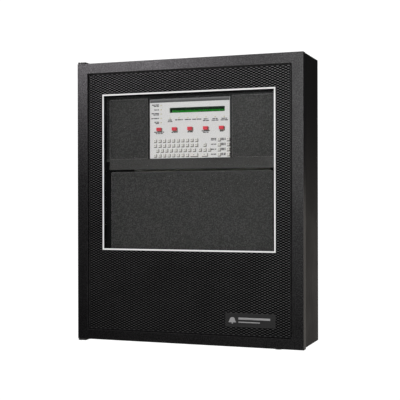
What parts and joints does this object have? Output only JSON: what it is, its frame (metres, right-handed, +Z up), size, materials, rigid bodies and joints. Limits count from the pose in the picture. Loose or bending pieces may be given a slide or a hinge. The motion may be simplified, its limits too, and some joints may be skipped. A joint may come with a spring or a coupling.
{
  "type": "fire alarm control panel",
  "caption": "Wall-mounted fire alarm control panel: steel cabinet, hinged glazed door with mesh front, operator display with keypad, inner electronics and standby batteries.",
  "frame": {"origin": "centre of the four wall-screw holes on the outer face of the cabinet's back", "axes": "+Z up, -Y out of the wall towards the operator (the door's face), +X to the right as the operator sees it, +Y into the wall"},
  "size_m": [0.613, 0.16, 0.7368],
  "materials": {
    "cabinet_paint": "fine textured charcoal enamel",
    "bare_steel": "plain bright steel",
    "zinc_steel": "zinc plated",
    "inner_black_paint": "satin black",
    "dress_paint": "fine textured dark grey",
    "faceplate_print": "matt printed overlay",
    "dark_rubber": "matt",
    "key_rubber": "matt cream",
    "red_button": "satin red",
    "lcd_green": "glossy, backlit green",
    "lcd_lens": "clear",
    "green_board": "solder mask",
    "supply_board": "bare laminate",
    "lamp_cream": "diffused lens",
    "black_plastic": "moulded black",
    "spacer_nylon": "turned",
    "terminal_green": "moulded green",
    "core_iron": "varnished laminations",
    "fin_aluminium": "extruded",
    "capacitor_sleeve": "shrink sleeve",
    "battery_case": "moulded black",
    "red_wire": "insulated",
    "flat_cable": "ribbon",
    "door_paint": "fine textured platinum grey enamel",
    "grille_black": "satin black",
    "white_border": "satin white",
    "clear_pane": "clear",
    "badge_black": "gloss black with grey relief",
    "lock_chrome": "polished",
    "lock_brass": "plain",
    "cam_steel": "zinc plated"
  },
  "bodies": {
    "cabinet": {"backbox": "cabinet_paint", "knockout_slugs": "cabinet_paint", "hinge_brackets": "cabinet_paint", "hinge_pins": "bare_steel", "lock_strike": "cabinet_paint", "studs_and_nuts": "zinc_steel", "chassis_plate": "zinc_steel", "dress_rails": "inner_black_paint", "upper_dress_panel": "dress_paint", "blank_plate_left": "dress_paint", "blank_plate_right": "dress_paint", "lower_dress_panel": "dress_paint", "dress_screws": "bare_steel", "display_faceplate": "faceplate_print", "keypad_mat": "dark_rubber", "lcd_module": "lcd_green", "lcd_window": "lcd_lens", "display_board": "green_board", "status_leds": "lamp_cream", "sounder": "black_plastic", "board_spacers": "spacer_nylon", "controller_board": "green_board", "board_components": "black_plastic", "terminal_blocks": "terminal_green", "power_supply_board": "supply_board", "transformer": "core_iron", "heatsink": "fin_aluminium", "capacitors": "capacitor_sleeve", "battery_left": "battery_case", "battery_right": "battery_case", "battery_leads": "red_wire", "ribbon_cable": "flat_cable"},
    "door": {"door_frame": "door_paint", "door_skin": "inner_black_paint", "door_grille": "grille_black", "window_trim": "white_border", "window_pane": "clear_pane", "window_retainer": "inner_black_paint", "retainer_screws": "bare_steel", "badge": "badge_black", "lock_body": "lock_chrome"},
    "lock": {"lock_plug": "lock_brass", "lock_cam": "cam_steel"},
    "event_button_1": {"event_button_1": "red_button"},
    "event_button_2": {"event_button_2": "red_button"},
    "event_button_3": {"event_button_3": "red_button"},
    "event_button_4": {"event_button_4": "red_button"},
    "event_button_5": {"event_button_5": "red_button"},
    "letter_keys_row_1": {"letter_keys_row_1": "key_rubber"},
    "letter_keys_row_2": {"letter_keys_row_2": "key_rubber"},
    "letter_keys_row_3": {"letter_keys_row_3": "key_rubber"},
    "letter_keys_row_4": {"letter_keys_row_4": "key_rubber"},
    "space_key": {"space_key": "key_rubber"},
    "enter_key": {"enter_key": "key_rubber"},
    "up_key": {"up_key": "key_rubber"},
    "left_key": {"left_key": "key_rubber"},
    "down_key": {"down_key": "key_rubber"},
    "right_key": {"right_key": "key_rubber"},
    "function_keys_inner": {"function_keys_inner": "key_rubber"},
    "function_keys_outer": {"function_keys_outer": "key_rubber"}
  },
  "joints": [
    {"name": "door_swing", "type": "hinge", "parent": "cabinet", "child": "door", "pos_m": [-0.3005, -0.154, 0], "axis": [0, 0, -1], "range_deg": [0, 150]},
    {"name": "lock_turn", "type": "hinge", "parent": "door", "child": "lock", "pos_m": [0.2405, -0.149, -0.365], "axis": [0, 0, -1], "range_deg": [0, 90]},
    {"name": "event_button_1_press", "type": "slide", "parent": "cabinet", "child": "event_button_1", "axis": [0, 1, 0], "range_m": [0, 0.0015], "stiffness_N_per_m": 300},
    {"name": "event_button_2_press", "type": "slide", "parent": "cabinet", "child": "event_button_2", "axis": [0, 1, 0], "range_m": [0, 0.0015], "stiffness_N_per_m": 300},
    {"name": "event_button_3_press", "type": "slide", "parent": "cabinet", "child": "event_button_3", "axis": [0, 1, 0], "range_m": [0, 0.0015], "stiffness_N_per_m": 300},
    {"name": "event_button_4_press", "type": "slide", "parent": "cabinet", "child": "event_button_4", "axis": [0, 1, 0], "range_m": [0, 0.0015], "stiffness_N_per_m": 300},
    {"name": "event_button_5_press", "type": "slide", "parent": "cabinet", "child": "event_button_5", "axis": [0, 1, 0], "range_m": [0, 0.0015], "stiffness_N_per_m": 300},
    {"name": "letter_keys_row_1_press", "type": "slide", "parent": "cabinet", "child": "letter_keys_row_1", "axis": [0, 1, 0], "range_m": [0, 0.0012], "stiffness_N_per_m": 200},
    {"name": "letter_keys_row_2_press", "type": "slide", "parent": "cabinet", "child": "letter_keys_row_2", "axis": [0, 1, 0], "range_m": [0, 0.0012], "stiffness_N_per_m": 200},
    {"name": "letter_keys_row_3_press", "type": "slide", "parent": "cabinet", "child": "letter_keys_row_3", "axis": [0, 1, 0], "range_m": [0, 0.0012], "stiffness_N_per_m": 200},
    {"name": "letter_keys_row_4_press", "type": "slide", "parent": "cabinet", "child": "letter_keys_row_4", "axis": [0, 1, 0], "range_m": [0, 0.0012], "stiffness_N_per_m": 200},
    {"name": "space_key_press", "type": "slide", "parent": "cabinet", "child": "space_key", "axis": [0, 1, 0], "range_m": [0, 0.0012], "stiffness_N_per_m": 200},
    {"name": "enter_key_press", "type": "slide", "parent": "cabinet", "child": "enter_key", "axis": [0, 1, 0], "range_m": [0, 0.0012], "stiffness_N_per_m": 200},
    {"name": "up_key_press", "type": "slide", "parent": "cabinet", "child": "up_key", "axis": [0, 1, 0], "range_m": [0, 0.0012], "stiffness_N_per_m": 200},
    {"name": "left_key_press", "type": "slide", "parent": "cabinet", "child": "left_key", "axis": [0, 1, 0], "range_m": [0, 0.0012], "stiffness_N_per_m": 200},
    {"name": "down_key_press", "type": "slide", "parent": "cabinet", "child": "down_key", "axis": [0, 1, 0], "range_m": [0, 0.0012], "stiffness_N_per_m": 200},
    {"name": "right_key_press", "type": "slide", "parent": "cabinet", "child": "right_key", "axis": [0, 1, 0], "range_m": [0, 0.0012], "stiffness_N_per_m": 200},
    {"name": "function_keys_inner_press", "type": "slide", "parent": "cabinet", "child": "function_keys_inner", "axis": [0, 1, 0], "range_m": [0, 0.0012], "stiffness_N_per_m": 200},
    {"name": "function_keys_outer_press", "type": "slide", "parent": "cabinet", "child": "function_keys_outer", "axis": [0, 1, 0], "range_m": [0, 0.0012], "stiffness_N_per_m": 200}
  ]
}
